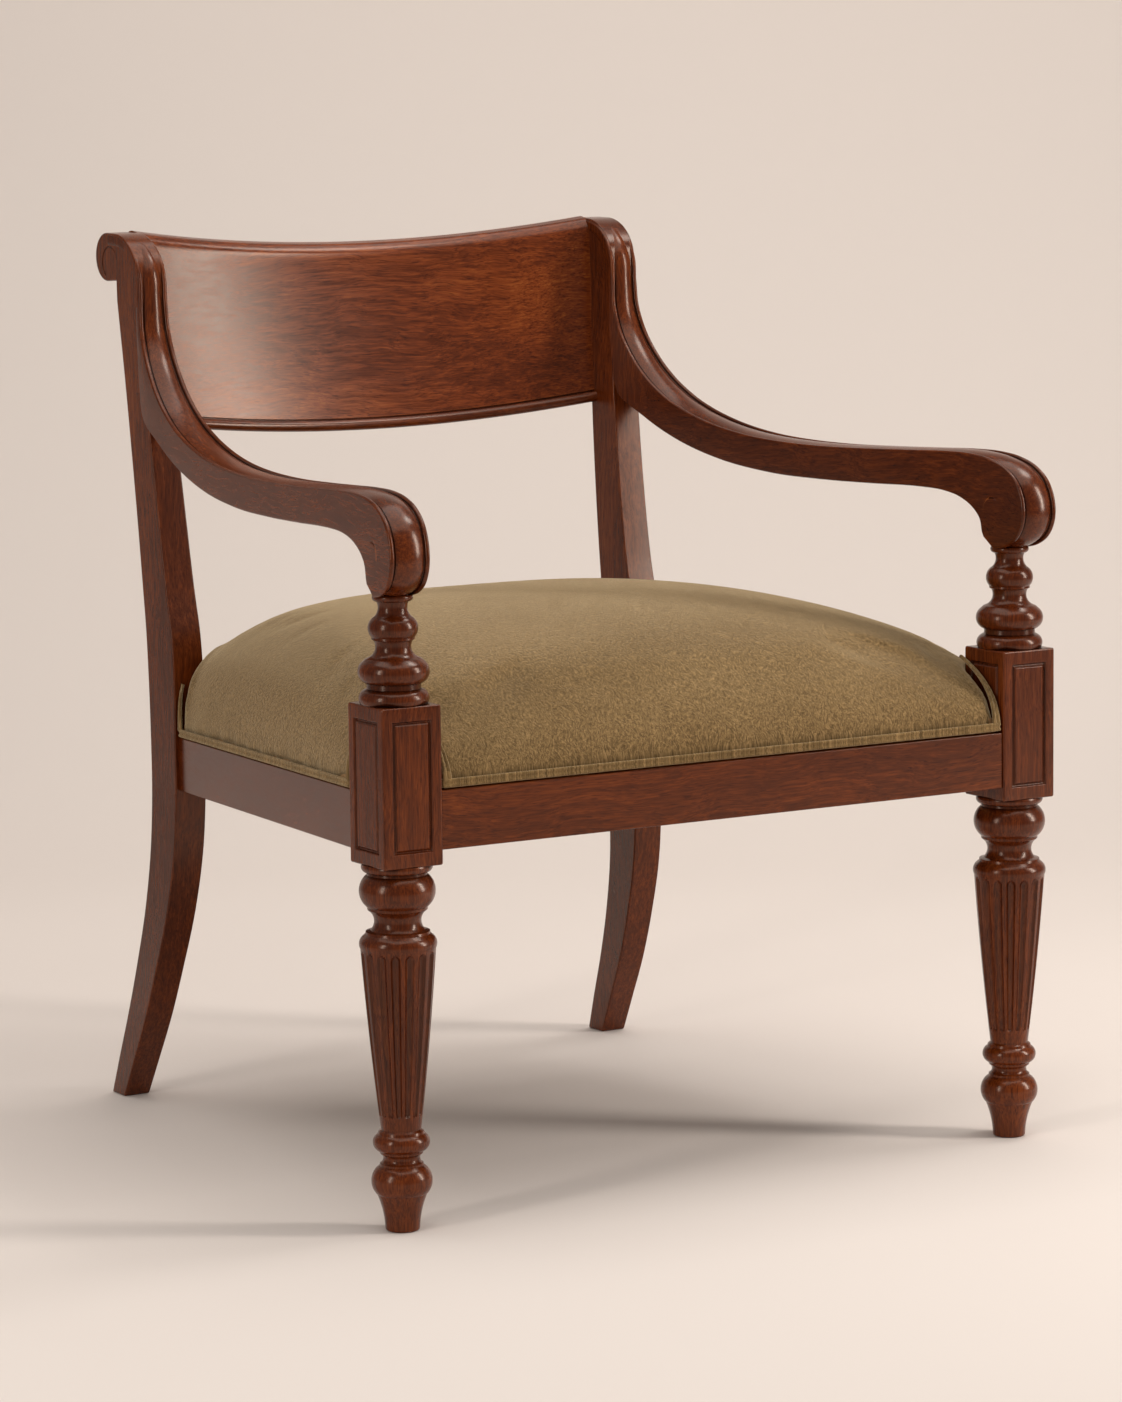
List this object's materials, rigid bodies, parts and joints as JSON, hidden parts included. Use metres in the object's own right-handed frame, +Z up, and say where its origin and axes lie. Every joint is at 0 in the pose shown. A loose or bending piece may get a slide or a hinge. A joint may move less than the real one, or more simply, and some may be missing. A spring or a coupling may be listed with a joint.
{
  "type": "armchair",
  "caption": "Open library armchair with scrolled arms on turned columns, fluted front legs, sabre rear legs, bowed back board and domed upholstered seat.",
  "frame": {"origin": "on the floor, under the middle of the bounding box", "axes": "+Z up, the sitter faces -Y, +X to the right in a view from the front"},
  "size_m": [0.684, 0.6865, 0.8028],
  "materials": {
    "mahogany": "french polished, satin gloss",
    "beech": "bare",
    "steel": "plain",
    "jute": "woven",
    "stuffing": "matt",
    "pile_cloth": "short pile",
    "lining_cloth": "matt"
  },
  "bodies": {
    "root": {"front_post_left": "mahogany", "front_post_right": "mahogany", "rear_stile_left": "mahogany", "rear_stile_right": "mahogany", "arm_left": "mahogany", "arm_right": "mahogany", "back_board": "mahogany", "back_board_bead": "mahogany", "front_rail": "mahogany", "rear_rail": "mahogany", "side_rail_left": "mahogany", "side_rail_right": "mahogany", "arm_screw_plugs": "mahogany", "corner_block_front_left": "beech", "corner_block_front_right": "beech", "corner_block_rear_left": "beech", "corner_block_rear_right": "beech", "seat_frame_front": "beech", "seat_frame_rear": "beech", "seat_frame_left": "beech", "seat_frame_right": "beech", "corner_block_screws": "steel", "seat_screws": "steel", "arm_screws": "steel", "webbing_tacks": "steel", "webbing_front_to_back": "jute", "webbing_side_to_side": "jute", "hessian": "jute", "seat_stuffing": "stuffing", "seat_cover": "pile_cloth", "welt_band": "pile_cloth", "corner_cords": "pile_cloth", "dust_cover": "lining_cloth"}
  },
  "joints": []
}
